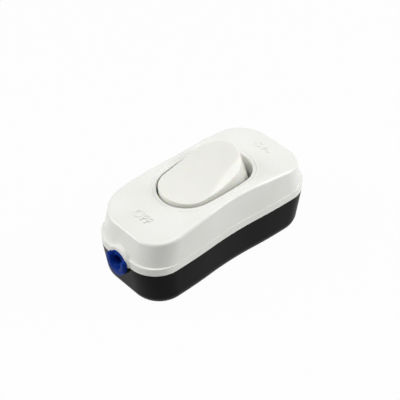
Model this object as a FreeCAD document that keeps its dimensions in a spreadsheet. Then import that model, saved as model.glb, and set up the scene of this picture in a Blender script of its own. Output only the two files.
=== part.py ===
import FreeCAD, Part

import math
import os
from types import SimpleNamespace

import Sketcher

# Inline cord switch: a waisted two-part housing, white above and black below, with a rocker
# in its crowned roof, a cord inlet with a blue grommet at each end, and a one-pole see-saw
# contact inside. X runs along the housing, Y across it and Z up from the flat underside.
# The rocker is stored with its -X end pressed, which leaves the contacts open.

# Driving sizes, in millimetres and degrees
DRIVING = {
    # Housing outline at the parting line
    "half_length": 39.0,
    "half_width": 17.0,
    "waist_depth": 1.0,
    "corner_radius": 11.0,
    "waist_share": 0.39,
    # Housing heights
    "parting_height": 16.6,
    "housing_height": 32.5,
    "crown_drop": 5.0,
    # How far each wall leans in towards the roof and towards the base
    "roof_end_lean": 3.45,
    "roof_side_lean": 0.3,
    "base_end_lean": 2.6,
    "base_side_lean": 0.4,
    # Belt round the foot of the white cover
    "belt_height": 3.0,
    "belt_end_step": 0.35,
    "belt_side_step": 0.15,
    # Walls
    "cover_wall": 1.8,
    "roof_thickness": 2.0,
    "base_wall": 2.8,
    "floor_thickness": 2.4,
    "roof_edge_radius": 1.2,
    "base_edge_radius": 5.5,
    "lip_height": 1.2,
    "lip_gap": 0.1,
    # Rocker opening
    "opening_half_length": 18.8,
    "opening_half_width": 11.6,
    "opening_end_radius": 11.2,
    "opening_edge_radius": 0.5,
    # Cord inlets
    "collar_radius": 5.3,
    "collar_reach": 0.5,
    "collar_depth": 5.4,
    "grommet_radius": 4.0,
    "grommet_gap": 0.05,
    "flange_radius": 5.0,
    "flange_thickness": 1.2,
    "nose_length": 2.0,
    "nose_rise": 3.0,
    "nose_edge_radius": 0.4,
    "cord_bore_radius": 2.2,
    # Housing screws
    "screw_place_x": 29.0,
    "screw_place_y": 10.6,
    "boss_radius": 2.8,
    "screw_hole_radius": 1.6,
    "screw_pilot_radius": 1.25,
    "screw_tip_gap": 1.4,
    "screw_recess_radius": 3.0,
    "screw_recess_depth": 3.0,
    "screw_length": 20.0,
    "screw_radius": 1.2,
    "screw_head_radius": 2.7,
    "screw_head_height": 1.8,
    # Cord clamps
    "clamp_place_x": 29.0,
    "clamp_screw_y": 5.8,
    "clamp_boss_radius": 2.0,
    "clamp_drop": 1.6,
    "clamp_rib": 2.0,
    "clamp_width": 4.6,
    "clamp_half_span": 7.5,
    "clamp_thickness": 1.5,
    "small_screw_radius": 1.0,
    "small_screw_gap": 0.05,
    "small_screw_length": 7.0,
    "small_head_radius": 1.8,
    "small_head_height": 1.4,
    # Rocker, in the frame of its own pivot
    "rocker_pivot_drop": 10.0,
    "rocker_tilt": 11.0,
    "rocker_end_gap": 0.4,
    "rocker_side_gap": 0.6,
    "rocker_end_lean": 2.3,
    "rocker_side_lean": 0.9,
    "rocker_skirt": -1.0,
    "rocker_middle": 11.5,
    "rocker_dish": 2.5,
    "rocker_edge_radius": 0.8,
    "rocker_wall": 1.6,
    "rocker_roof": 2.2,
    "ear_radius": 3.2,
    "ear_inset": 0.3,
    "trunnion_radius": 1.9,
    "trunnion_gap": 0.05,
    "trunnion_end": 13.7,
    "trunnion_end_gap": 0.3,
    "lug_half_length": 3.6,
    "lug_step": 0.4,
    "lug_drop": 2.8,
    # Spring plunger in the rocker
    "pole_offset": 5.0,
    "guide_radius": 3.4,
    "guide_lift": 0.7,
    "plunger_radius": 2.15,
    "plunger_gap": 0.1,
    "plunger_barrel": 3.0,
    "plunger_cone": 1.0,
    "plunger_nose_radius": 1.2,
    "plunger_stem_radius": 1.2,
    "plunger_stem_length": 4.0,
    "spring_radius": 1.7,
    "spring_wire_radius": 0.25,
    "spring_gap": 0.05,
    "spring_pitch": 2.2,
    "guide_bore_top": 4.0,
    # See-saw contact, in the frame of its own pivot
    "fulcrum_drop": 3.2,
    "blade_tilt": 5.5,
    "blade_half_length": 9.5,
    "blade_width": 5.0,
    "blade_thickness": 1.1,
    "blade_sink": 0.3,
    "notch_half_width": 0.5,
    "notch_gap": 0.05,
    "nose_gap": 0.08,
    "contact_place": 8.0,
    "contact_radius": 1.6,
    "contact_height": 0.9,
    "contact_crown": 0.35,
    "contact_gap": 0.1,
    "rivet_radius": 0.8,
    "rivet_gap": 0.02,
    # Brass strips and terminal pillars
    "strip_height": 6.0,
    "strip_thickness": 0.8,
    "strip_width": 5.0,
    "knife_height": 0.6,
    "riser_place": 12.8,
    "fixed_leg_end": 5.5,
    "stop_place": 8.7,
    "window_half_length": 1.8,
    "window_half_width": 1.4,
    "window_gap": 0.4,
    "neutral_offset": 6.0,
    "neutral_width": 4.0,
    "pillar_place": 20.5,
    "pillar_length": 7.0,
    "pillar_width": 6.0,
    "pillar_height": 7.0,
    "pillar_edge_radius": 1.0,
    "wire_hole_radius": 1.7,
    "wire_hole_height": 3.2,
    "terminal_screw_radius": 1.45,
    "terminal_screw_gap": 0.05,
    "terminal_screw_length": 4.6,
    "terminal_head_radius": 2.5,
    "terminal_head_height": 1.8,
    "slot_width": 0.8,
    "slot_depth": 0.8,
    "head_rim_share": 0.6,
    "head_crown_share": 0.8,
    "cross_reach_share": 0.6,
}


class Size:
    """A size on the sheet, or a formula of such sizes: the text that binds it, and its number."""

    def __init__(self, text, value):
        self.text = text
        self.value = float(value)

    def __add__(self, other):
        other = as_size(other)
        return Size(f"({self.text} + {other.text})", self.value + other.value)

    def __sub__(self, other):
        other = as_size(other)
        return Size(f"({self.text} - {other.text})", self.value - other.value)

    def __mul__(self, other):
        other = as_size(other)
        return Size(f"({self.text} * {other.text})", self.value * other.value)

    def __truediv__(self, other):
        other = as_size(other)
        return Size(f"({self.text} / {other.text})", self.value / other.value)

    def __neg__(self):
        return Size(f"(0 - {self.text})", -self.value)

    __radd__ = __add__
    __rmul__ = __mul__


def as_size(number):
    return number if isinstance(number, Size) else Size(str(number), number)


def root(size):
    return Size(f"sqrt({size.text})", math.sqrt(size.value))


def sine(size):
    return Size(f"sin({size.text})", math.sin(math.radians(size.value)))


def cosine(size):
    return Size(f"cos({size.text})", math.cos(math.radians(size.value)))


doc = FreeCAD.newDocument("InlineCordSwitch")
sheet = doc.addObject("Spreadsheet::Sheet", "Sizes")
for row, (alias, number) in enumerate(DRIVING.items(), start=1):
    sheet.set(f"A{row}", alias)
    sheet.set(f"B{row}", str(number))
    sheet.setAlias(f"B{row}", alias)
doc.recompute()
s = SimpleNamespace(**{alias: Size(f"Sizes.{alias}", sheet.get(alias)) for alias in DRIVING})

ENDS = {"near": -1, "far": 1}
SIDES = {"left": -1, "right": 1}


# Bodies, planes and sketches
def new_body(label):
    body = doc.addObject("PartDesign::Body", label)
    body.Label = label
    return body


def place(body, x=None, y=None, z=None, axis=None, angle=None):
    """Moves a body's own frame, with each part of the move bound to the sheet."""
    turn = FreeCAD.Rotation(axis, as_size(angle).value) if axis else FreeCAD.Rotation()
    body.Placement = FreeCAD.Placement(FreeCAD.Vector(0, 0, 0), turn)
    if axis:
        body.setExpression("Placement.Rotation.Angle", as_size(angle).text)
    for letter, size in (("x", x), ("y", y), ("z", z)):
        if size is not None:
            body.setExpression(f"Placement.Base.{letter}", size.text)


def new_sketch(body, name, role, offset=None):
    sketch = body.newObject("Sketcher::SketchObject", name)
    plane = [f for f in body.Origin.OriginFeatures if f.Role == role][0]
    sketch.AttachmentSupport = [(plane, "")]
    sketch.MapMode = "FlatFace"
    if offset is not None:
        sketch.AttachmentOffset = FreeCAD.Placement(FreeCAD.Vector(0, 0, offset.value),
                                                    FreeCAD.Rotation())
        sketch.setExpression("AttachmentOffset.Base.z", offset.text)
    return sketch


def constrain(sketch, kind, element, point, size):
    """Holds one point of an element, or its radius, at a size of the sheet."""
    if kind == "Radius":
        index = sketch.addConstraint(Sketcher.Constraint(kind, element, size.value))
    else:
        index = sketch.addConstraint(Sketcher.Constraint(kind, -1, 1, element, point, size.value))
    sketch.setExpression(f"Constraints[{index}]", size.text)


def circle(sketch, x, y, radius):
    x, y = as_size(x), as_size(y)
    centre = FreeCAD.Vector(x.value, y.value, 0)
    element = sketch.addGeometry(Part.Circle(centre, FreeCAD.Vector(0, 0, 1), radius.value), False)
    constrain(sketch, "Radius", element, 0, radius)
    constrain(sketch, "DistanceX", element, 3, x)
    constrain(sketch, "DistanceY", element, 3, y)


def arc_between(start, end, radius):
    """The shorter arc from start to end; a positive radius keeps its centre on the left."""
    chord = end - start
    left = FreeCAD.Vector(-chord.y, chord.x, 0).normalize()
    rise = math.sqrt(max(radius ** 2 - (chord.Length / 2) ** 2, 0.0))
    centre = (start + end) / 2 + left * math.copysign(rise, radius)
    first, last = (start, end) if radius > 0 else (end, start)
    angles = [math.atan2(p.y - centre.y, p.x - centre.x) for p in (first, last)]
    whole = Part.Circle(centre, FreeCAD.Vector(0, 0, 1), abs(radius))
    return Part.ArcOfCircle(whole, angles[0], angles[1])


def profile(sketch, corners):
    """A closed outline. Each corner is (x, y) or (x, y, bend): bend is the signed radius of
    the side that leaves it. Every corner and radius is bound to the sheet."""
    corners = [(as_size(c[0]), as_size(c[1]), c[2] if len(c) > 2 else None) for c in corners]
    points = [FreeCAD.Vector(x.value, y.value, 0) for x, y, bend in corners]
    starts, ends = [], []
    for i, (x, y, bend) in enumerate(corners):
        start, end = points[i], points[(i + 1) % len(points)]
        if bend is None:
            element = sketch.addGeometry(Part.LineSegment(start, end), False)
            first, last = 1, 2
        else:
            element = sketch.addGeometry(arc_between(start, end, bend.value), False)
            first, last = (1, 2) if bend.value > 0 else (2, 1)
            radius = bend if bend.value > 0 else -bend
            constrain(sketch, "Radius", element, 0, radius)
        constrain(sketch, "DistanceX", element, first, x)
        constrain(sketch, "DistanceY", element, first, y)
        starts.append((element, first))
        ends.append((element, last))
    for i, last in enumerate(ends):
        first = starts[(i + 1) % len(starts)]
        sketch.addConstraint(Sketcher.Constraint("Coincident", *last, *first))


def rectangle(sketch, low_x, high_x, low_y, high_y):
    profile(sketch, [(low_x, low_y), (high_x, low_y), (high_x, high_y), (low_x, high_y)])


# Solid features
def pad(body, sketch, length, flip=False, draft=None, both=False):
    feature = body.newObject("PartDesign::Pad", sketch.Name + "Pad")
    feature.Profile = sketch
    feature.setExpression("Length", as_size(length).text)
    feature.Reversed = flip
    if both:
        feature.SideType = "Symmetric"
    if draft:
        feature.setExpression("TaperAngle", draft.text)
    doc.recompute()
    return feature


def pocket(body, sketch, length=None, flip=False):
    """Cuts to a length against the sketch's normal (along it with flip), or both ways through."""
    before = body.Shape.Volume
    feature = body.newObject("PartDesign::Pocket", sketch.Name + "Cut")
    feature.Profile = sketch
    feature.Reversed = flip
    if length is None:
        feature.SideType = "Symmetric"
        feature.Type = "ThroughAll"
    else:
        feature.setExpression("Length", as_size(length).text)
    doc.recompute()
    if not body.Shape.Volume < before - 1e-6:
        raise RuntimeError(f"{feature.Name} cuts nothing")
    return feature


def loft(body, kind, first, last):
    feature = body.newObject(f"PartDesign::{kind}Loft", first.Name + "Loft")
    feature.Profile = first
    feature.Sections = [last]
    feature.Ruled = True
    doc.recompute()
    return feature


def revolve(body, sketch):
    feature = body.newObject("PartDesign::Revolution", sketch.Name + "Turn")
    feature.Profile = sketch
    feature.ReferenceAxis = (sketch, ["V_Axis"])
    feature.Angle = 360
    doc.recompute()
    return feature


def hollow(body, tool):
    feature = body.newObject("PartDesign::Boolean", tool.Name + "Removed")
    feature.Type = "Cut"
    feature.addObject(tool)
    doc.recompute()
    return feature


def round_edges(body, wanted, radius):
    """Rounds the edges that wanted() picks from the body's present shape."""
    base = body.Tip
    names = [f"Edge{i}" for i, edge in enumerate(base.Shape.Edges, start=1) if wanted(edge)]
    if not names:
        raise RuntimeError(f"no edge to round on {body.Label}")
    feature = body.newObject("PartDesign::Fillet", body.Name + "Round")
    feature.Base = (base, names)
    feature.setExpression("Radius", radius.text)
    doc.recompute()
    return feature


def level(edge, height):
    """True where the whole edge lies at one height."""
    box = edge.BoundBox
    return abs(box.ZMin - height) < 1e-4 and abs(box.ZMax - height) < 1e-4


def on_front(edge, place_x):
    """True where the whole edge lies in the front face at place_x."""
    box = edge.BoundBox
    return abs(box.XMin - place_x.value) < 1e-4 and abs(box.XMax - place_x.value) < 1e-4


def rim_of_arc(body, radius):
    """Edges round the cylindrical face of the given radius."""
    faces = [f for f in body.Tip.Shape.Faces
             if isinstance(f.Surface, Part.Cylinder) and abs(f.Surface.Radius - radius.value) < 1e-3]
    rims = [edge for face in faces for edge in face.OuterWire.Edges]
    return lambda edge: any(edge.isSame(rim) for rim in rims)


# Outlines
def waisted(sketch, length, width, waist, corner, share):
    """The housing's plan: concave waist arcs, convex flanks, round corners and straight ends.
    The arguments are half sizes; share is how much of the waist-to-flank bend is concave."""
    flank = length - corner
    bulge = width - waist
    bend = (flank * flank + bulge * bulge) / (bulge * 2)
    hollow_bend = -(bend * share)
    full_bend = bend - bend * share
    turn_x = flank * share
    turn_y = waist + bulge * share
    profile(sketch, [
        (length, -(width - corner)),
        (length, width - corner, corner),
        (flank, width, full_bend),
        (turn_x, turn_y, hollow_bend),
        (-turn_x, turn_y, full_bend),
        (-flank, width, corner),
        (-length, width - corner),
        (-length, -(width - corner), corner),
        (-flank, -width, full_bend),
        (-turn_x, -turn_y, hollow_bend),
        (turn_x, -turn_y, full_bend),
        (flank, -width, corner),
    ])


def housing_outline(sketch, end_inset, side_inset):
    """The housing's outline at some level, leaned in and then moved in by a wall."""
    waisted(sketch, s.half_length - end_inset, s.half_width - side_inset,
            waist_half_width - side_inset, s.corner_radius, s.waist_share)


def housing_wall_outline(sketch, end_lean, side_lean, wall):
    """The line that runs one wall inside the housing's outline at some level."""
    flank = s.half_length - end_lean - s.corner_radius
    bulge = s.waist_depth
    bend = (flank * flank + bulge * bulge) / (bulge * 2)
    waisted(sketch, s.half_length - end_lean - wall, s.half_width - side_lean - wall,
            waist_half_width - side_lean - wall, s.corner_radius - wall,
            s.waist_share + wall / bend)


def oval(sketch, length, width, end):
    """A four-arc oval: half length, half width and the radius of its ends."""
    centre = length - end
    flank = (centre * centre + width * width - end * end) / ((width - end) * 2)
    join_x = centre + end * centre / (flank - end)
    join_y = end * (flank - width) / (flank - end)
    profile(sketch, [
        (join_x, -join_y, end),
        (join_x, join_y, flank),
        (-join_x, join_y, end),
        (-join_x, -join_y, flank),
    ])


def half_disc(sketch, radius, height, side):
    """A half disc on the parting line: above it for side 1, below it for side -1."""
    bend = radius if side > 0 else -radius
    profile(sketch, [
        (-radius, height),
        (radius, height, bend),
        (0, height + radius * side, bend),
    ])


# Shared places
waist_half_width = s.half_width - s.waist_depth
pivot_height = s.housing_height - s.rocker_pivot_drop
fulcrum_height = s.parting_height - s.fulcrum_drop
crown_radius = ((s.half_length * s.half_length + s.crown_drop * s.crown_drop)
                / (s.crown_drop * 2))


def roof_height(x, depth):
    """Height of the surface that runs a depth below the crowned roof, at x."""
    radius = crown_radius - depth
    return s.housing_height - crown_radius + root(radius * radius - x * x)


collar_face = s.half_length + s.collar_reach
collar_back = collar_face - s.collar_depth
bore_radius = s.grommet_radius + s.grommet_gap
clamp_seat = s.parting_height - s.clamp_drop
strip_top = s.strip_height + s.strip_thickness
pillar_top = strip_top + s.pillar_height
blade_under = -s.blade_sink
blade_top = blade_under + s.blade_thickness
contact_low = (fulcrum_height - s.contact_place * sine(s.blade_tilt)
               - (s.blade_sink + s.contact_height) * cosine(s.blade_tilt))
fixed_top = contact_low - s.contact_gap
fixed_leg_top = fixed_top - s.contact_height
stop_top = (fulcrum_height - s.blade_half_length * sine(s.blade_tilt)
            - s.blade_sink * cosine(s.blade_tilt) - s.contact_gap)
rocker_half_length = s.opening_half_length - s.rocker_end_gap
rocker_half_width = s.opening_half_width - s.rocker_side_gap
rocker_end_radius = s.opening_end_radius - s.rocker_side_gap
rocker_rim = s.rocker_middle + s.rocker_dish
guide_bore_radius = s.plunger_radius + s.plunger_gap
nose_low = fulcrum_height + blade_top + s.nose_gap - pivot_height
barrel_low = nose_low + s.plunger_nose_radius + s.plunger_cone
shoulder = barrel_low + s.plunger_barrel
guide_low = barrel_low + s.guide_lift


def crown_band(sketch, radius, far):
    """Everything above the crown arc of the given radius, out to far on each side."""
    centre = s.housing_height - crown_radius
    edge = centre + root(radius * radius - far * far)
    profile(sketch, [
        (-far, edge, -radius),
        (far, edge),
        (far, s.housing_height + s.crown_drop),
        (-far, s.housing_height + s.crown_drop),
    ])


def corner_places():
    return [(x, y) for x in ENDS.values() for y in SIDES.values()]


# White cover: leaning walls, crowned roof, belt, collars, screw posts and rocker bearings
def build_top_cover():
    body = new_body("top_cover")
    foot = new_sketch(body, "CoverFoot", "XY_Plane", s.parting_height)
    housing_outline(foot, s.belt_end_step, s.belt_side_step)
    head = new_sketch(body, "CoverHead", "XY_Plane", s.housing_height)
    housing_outline(head, s.belt_end_step + s.roof_end_lean, s.belt_side_step + s.roof_side_lean)
    loft(body, "Additive", foot, head)
    crown = new_sketch(body, "Crown", "XZ_Plane")
    crown_band(crown, crown_radius, s.half_length)
    pocket(body, crown)
    round_edges(body, rim_of_arc(body, crown_radius), s.roof_edge_radius)
    belt = new_sketch(body, "Belt", "XY_Plane", s.parting_height)
    housing_outline(belt, as_size(0), as_size(0))
    pad(body, belt, s.belt_height)

    room = new_body("cover_room")
    low = new_sketch(room, "RoomFoot", "XY_Plane", s.parting_height)
    housing_wall_outline(low, s.belt_end_step, s.belt_side_step, s.cover_wall)
    high = new_sketch(room, "RoomHead", "XY_Plane", s.housing_height)
    housing_wall_outline(high, s.belt_end_step + s.roof_end_lean,
                         s.belt_side_step + s.roof_side_lean, s.cover_wall)
    loft(room, "Additive", low, high)
    ceiling = new_sketch(room, "Ceiling", "XZ_Plane")
    crown_band(ceiling, crown_radius - s.roof_thickness, s.half_length)
    pocket(room, ceiling)
    hollow(body, room)

    mouth = new_sketch(body, "Opening", "XY_Plane", s.housing_height + s.crown_drop)
    oval(mouth, s.opening_half_length, s.opening_half_width, s.opening_end_radius)
    pocket(body, mouth, s.housing_height + s.crown_drop - s.parting_height)
    round_edges(body, opening_rim, s.opening_edge_radius)

    for end, side in ENDS.items():
        arch = new_sketch(body, f"Arch_{end}", "YZ_Plane", collar_back * side)
        half_disc(arch, s.collar_radius, s.parting_height, 1)
        pad(body, arch, s.collar_depth, flip=side < 0)
        bore = new_sketch(body, f"InletBore_{end}", "YZ_Plane",
                          (collar_back - s.flange_thickness) * side)
        circle(bore, 0, s.parting_height, bore_radius)
        pocket(body, bore, s.collar_depth * 2, flip=side > 0)

    post_top = roof_height(s.screw_place_x, s.roof_thickness / 2)
    posts = new_sketch(body, "ScrewPosts", "XY_Plane", s.parting_height)
    pilots = new_sketch(body, "ScrewPilots", "XY_Plane", s.parting_height)
    for x, y in corner_places():
        circle(posts, s.screw_place_x * x, s.screw_place_y * y, s.boss_radius)
        circle(pilots, s.screw_place_x * x, s.screw_place_y * y, s.screw_pilot_radius)
    pad(body, posts, post_top - s.parting_height)
    pocket(body, pilots, s.screw_recess_depth + s.screw_length + s.screw_tip_gap
           - s.parting_height, flip=True)

    lug_low = pivot_height - s.lug_drop
    lug_face = s.opening_half_width + s.lug_step
    lug_back = s.trunnion_end + s.trunnion_end_gap
    for name, side in SIDES.items():
        lug = new_sketch(body, f"Lug_{name}", "XZ_Plane", lug_face * side)
        rectangle(lug, -s.lug_half_length, s.lug_half_length, lug_low,
                  roof_height(s.lug_half_length, s.roof_thickness / 2))
        reach = waist_half_width - s.cover_wall / 2 - lug_face - s.roof_side_lean
        pad(body, lug, reach, flip=side < 0)
        radius = s.trunnion_radius + s.trunnion_gap
        seat = new_sketch(body, f"Bearing_{name}", "XZ_Plane", lug_back * side)
        profile(seat, [
            (-radius, lug_low - radius),
            (radius, lug_low - radius),
            (radius, pivot_height, radius),
            (0, pivot_height + radius, radius),
            (-radius, pivot_height),
        ])
        pocket(body, seat, lug_back - s.opening_half_width, flip=side < 0)
    return body


def opening_rim(edge):
    """The opening's edge on the outer face of the roof."""
    box = edge.BoundBox
    inside = max(abs(box.XMin), abs(box.XMax)) < s.opening_half_length.value + 0.01
    narrow = max(abs(box.YMin), abs(box.YMax)) < s.opening_half_width.value + 0.01
    roof = roof_height(s.opening_half_length, as_size(0)).value
    return inside and narrow and box.ZMin > roof - 0.01


# Black base: rounded tray with collars, bosses, cord saddles and contact supports
def build_bottom_cover():
    body = new_body("bottom_cover")
    foot = new_sketch(body, "BaseFoot", "XY_Plane")
    housing_outline(foot, s.base_end_lean, s.base_side_lean)
    head = new_sketch(body, "BaseHead", "XY_Plane", s.parting_height)
    housing_outline(head, as_size(0), as_size(0))
    loft(body, "Additive", foot, head)
    low = new_sketch(body, "TrayFoot", "XY_Plane", s.floor_thickness)
    housing_wall_outline(low, s.base_end_lean + s.belt_end_step,
                         s.base_side_lean + s.belt_side_step, s.base_wall)
    high = new_sketch(body, "TrayHead", "XY_Plane", s.parting_height)
    housing_wall_outline(high, s.belt_end_step, s.belt_side_step, s.base_wall)
    loft(body, "Subtractive", low, high)
    round_edges(body, lambda edge: level(edge, 0), s.base_edge_radius)

    lip = new_sketch(body, "Lip", "XY_Plane", s.parting_height)
    rise = s.lip_height / (s.housing_height - s.parting_height)
    housing_wall_outline(lip, s.belt_end_step + s.roof_end_lean * rise,
                         s.belt_side_step + s.roof_side_lean * rise, s.cover_wall + s.lip_gap)
    housing_wall_outline(lip, s.belt_end_step, s.belt_side_step, s.base_wall)
    pad(body, lip, s.lip_height)
    notches = new_sketch(body, "LipNotches", "XY_Plane", s.parting_height)
    notch_side = s.collar_radius + s.lip_gap
    rectangle(notches, collar_back - s.lip_gap, s.half_length, -notch_side, notch_side)
    rectangle(notches, -s.half_length, s.lip_gap - collar_back, -notch_side, notch_side)
    pocket(body, notches, s.lip_height * 2, flip=True)

    for end, side in ENDS.items():
        collar = new_sketch(body, f"Collar_{end}", "YZ_Plane", collar_back * side)
        half_disc(collar, s.collar_radius, s.parting_height, -1)
        pad(body, collar, s.collar_depth, flip=side < 0)
        bore = new_sketch(body, f"CollarBore_{end}", "YZ_Plane",
                          (collar_back - s.flange_thickness) * side)
        circle(bore, 0, s.parting_height, bore_radius)
        pocket(body, bore, s.collar_depth * 2, flip=side > 0)

    bosses = new_sketch(body, "ScrewBosses", "XY_Plane", s.floor_thickness)
    holes = new_sketch(body, "ScrewHoles", "XY_Plane")
    recesses = new_sketch(body, "ScrewRecesses", "XY_Plane")
    feet = new_sketch(body, "ClampFeet", "XY_Plane", s.floor_thickness)
    pilots = new_sketch(body, "ClampPilots", "XY_Plane", clamp_seat)
    for x, y in corner_places():
        circle(bosses, s.screw_place_x * x, s.screw_place_y * y, s.boss_radius)
        circle(holes, s.screw_place_x * x, s.screw_place_y * y, s.screw_hole_radius)
        circle(recesses, s.screw_place_x * x, s.screw_place_y * y, s.screw_recess_radius)
        circle(feet, s.clamp_place_x * x, s.clamp_screw_y * y, s.clamp_boss_radius)
        circle(pilots, s.clamp_place_x * x, s.clamp_screw_y * y,
               s.small_screw_radius + s.small_screw_gap)
    pad(body, bosses, s.parting_height - s.floor_thickness)
    pad(body, feet, clamp_seat - s.floor_thickness)
    saddles = new_sketch(body, "Saddles", "XY_Plane", s.floor_thickness)
    for side in ENDS.values():
        middle = s.clamp_place_x * side
        rectangle(saddles, middle - s.clamp_rib / 2, middle + s.clamp_rib / 2,
                  -s.clamp_screw_y, s.clamp_screw_y)
    pad(body, saddles, clamp_seat - s.floor_thickness)
    groove = new_sketch(body, "CordGroove", "YZ_Plane", -s.clamp_place_x - s.clamp_rib)
    circle(groove, 0, s.parting_height, s.cord_bore_radius)
    pocket(body, groove, (s.clamp_place_x + s.clamp_rib) * 2, flip=True)
    pocket(body, pilots, s.small_screw_length)
    pocket(body, holes, s.parting_height * 2, flip=True)
    pocket(body, recesses, s.screw_recess_depth, flip=True)

    for name, x, y, half_x, half_y, top in supports():
        block = new_sketch(body, f"Support_{name}", "XY_Plane", s.floor_thickness)
        rectangle(block, x - half_x, x + half_x, y - half_y, y + half_y)
        pad(body, block, top - s.floor_thickness)
    return body


def supports():
    """Blocks that stand on the floor: name, place, half sizes and top."""
    half_x, half_y = s.pillar_length / 2, s.strip_width / 2
    stop_x = s.window_half_length - s.window_gap
    stop_y = s.window_half_width - s.window_gap
    live, neutral = -s.pole_offset, s.neutral_offset
    return [
        ("line", -s.pillar_place, live, half_x, half_y, s.strip_height),
        ("load", s.pillar_place, live, half_x, half_y, s.strip_height),
        ("neutral_near", -s.pillar_place, neutral, half_x, half_y, s.strip_height),
        ("neutral_far", s.pillar_place, neutral, half_x, half_y, s.strip_height),
        ("neutral_middle", as_size(0), neutral, stop_x, half_y, s.strip_height),
        ("fulcrum", as_size(0), live, stop_x, half_y, s.strip_height),
        ("fixed_leg", -s.contact_place, live, stop_x, stop_y, fixed_leg_top - s.strip_thickness),
        ("stop", s.stop_place, live, stop_x, stop_y, stop_top),
    ]


# Rocker, modelled about its pivot and then tilted
def build_rocker():
    body = new_body("rocker")
    skirt = new_sketch(body, "Skirt", "XY_Plane", s.rocker_skirt)
    rocker_outline(skirt, 0, as_size(0))
    top = new_sketch(body, "RockerTop", "XY_Plane", rocker_rim)
    rocker_outline(top, 1, as_size(0))
    loft(body, "Additive", skirt, top)
    length = rocker_half_length - s.rocker_end_lean
    dish_radius = (length * length + s.rocker_dish * s.rocker_dish) / (s.rocker_dish * 2)
    dish = new_sketch(body, "Dish", "XZ_Plane")
    profile(dish, [
        (-length, rocker_rim, dish_radius),
        (length, rocker_rim),
        (length, rocker_rim + s.rocker_dish),
        (-length, rocker_rim + s.rocker_dish),
    ])
    pocket(body, dish)
    round_edges(body, rim_of_arc(body, dish_radius), s.rocker_edge_radius)

    ceiling = s.rocker_middle - s.rocker_roof
    low = new_sketch(body, "RockerRoomFoot", "XY_Plane", s.rocker_skirt)
    rocker_outline(low, 0, s.rocker_wall)
    high = new_sketch(body, "RockerRoomHead", "XY_Plane", ceiling)
    rocker_outline(high, (ceiling - s.rocker_skirt) / (rocker_rim - s.rocker_skirt), s.rocker_wall)
    loft(body, "Subtractive", low, high)
    guide = new_sketch(body, "Guide", "XY_Plane", guide_low)
    circle(guide, 0, -s.pole_offset, s.guide_radius)
    pad(body, guide, ceiling + s.rocker_roof / 2 - guide_low)
    bore = new_sketch(body, "GuideBore", "XY_Plane", guide_low)
    circle(bore, 0, -s.pole_offset, guide_bore_radius)
    pocket(body, bore, s.guide_bore_top - guide_low, flip=True)

    for name, side in SIDES.items():
        inner = rocker_half_width - s.rocker_wall
        ear = new_sketch(body, f"Ear_{name}", "XZ_Plane", inner * side)
        circle(ear, 0, 0, s.ear_radius)
        pad(body, ear, s.rocker_wall - s.ear_inset, flip=side < 0)
        trunnion = new_sketch(body, f"Trunnion_{name}", "XZ_Plane", inner * side)
        circle(trunnion, 0, 0, s.trunnion_radius)
        pad(body, trunnion, s.trunnion_end - inner, flip=side < 0)
    tilt_rocker(body)
    return body


def rocker_outline(sketch, share, wall):
    """The rocker's outline from its skirt (share 0) to its top edge (share 1), less a wall."""
    end_lean = s.rocker_end_lean * share
    side_lean = s.rocker_side_lean * share
    oval(sketch, rocker_half_length - end_lean - wall, rocker_half_width - side_lean - wall,
         rocker_end_radius - side_lean - wall)


def tilt_rocker(body):
    place(body, z=pivot_height, axis=FreeCAD.Vector(0, -1, 0), angle=s.rocker_tilt)


def build_plunger():
    body = new_body("plunger")
    sketch = new_sketch(body, "PlungerHalf", "XZ_Plane", s.pole_offset)
    profile(sketch, [
        (0, nose_low, s.plunger_nose_radius),
        (s.plunger_nose_radius, nose_low + s.plunger_nose_radius),
        (s.plunger_radius, barrel_low),
        (s.plunger_radius, shoulder),
        (s.plunger_stem_radius, shoulder),
        (s.plunger_stem_radius, shoulder + s.plunger_stem_length),
        (0, shoulder + s.plunger_stem_length),
    ])
    revolve(body, sketch)
    tilt_rocker(body)
    return body


def build_spring():
    body = new_body("plunger_spring")
    wire = new_sketch(body, "Wire", "XZ_Plane", s.pole_offset)
    seat = s.spring_wire_radius + s.spring_gap
    circle(wire, s.spring_radius, shoulder + seat, s.spring_wire_radius)
    coil = body.newObject("PartDesign::AdditiveHelix", "Coil")
    coil.Profile = wire
    coil.ReferenceAxis = (wire, ["V_Axis"])
    coil.Mode = "pitch-height-angle"
    coil.setExpression("Pitch", s.spring_pitch.text)
    coil.setExpression("Height", (s.guide_bore_top - shoulder - seat * 2).text)
    doc.recompute()
    tilt_rocker(body)
    return body


# See-saw contact
def build_blade():
    body = new_body("contact_blade")
    sketch = new_sketch(body, "BladeSide", "XZ_Plane")
    profile(sketch, [
        (-s.blade_half_length, blade_under),
        (-s.notch_half_width, blade_under),
        (0, s.notch_gap),
        (s.notch_half_width, blade_under),
        (s.blade_half_length, blade_under),
        (s.blade_half_length, blade_top),
        (-s.blade_half_length, blade_top),
    ])
    pad(body, sketch, s.blade_width, both=True)
    hole = new_sketch(body, "BladeHole", "XY_Plane", blade_top)
    circle(hole, -s.contact_place, 0, s.rivet_radius)
    pocket(body, hole, s.blade_thickness * 2)
    place(body, y=-s.pole_offset, z=fulcrum_height,
          axis=FreeCAD.Vector(0, 1, 0), angle=s.blade_tilt)
    return body


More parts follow.
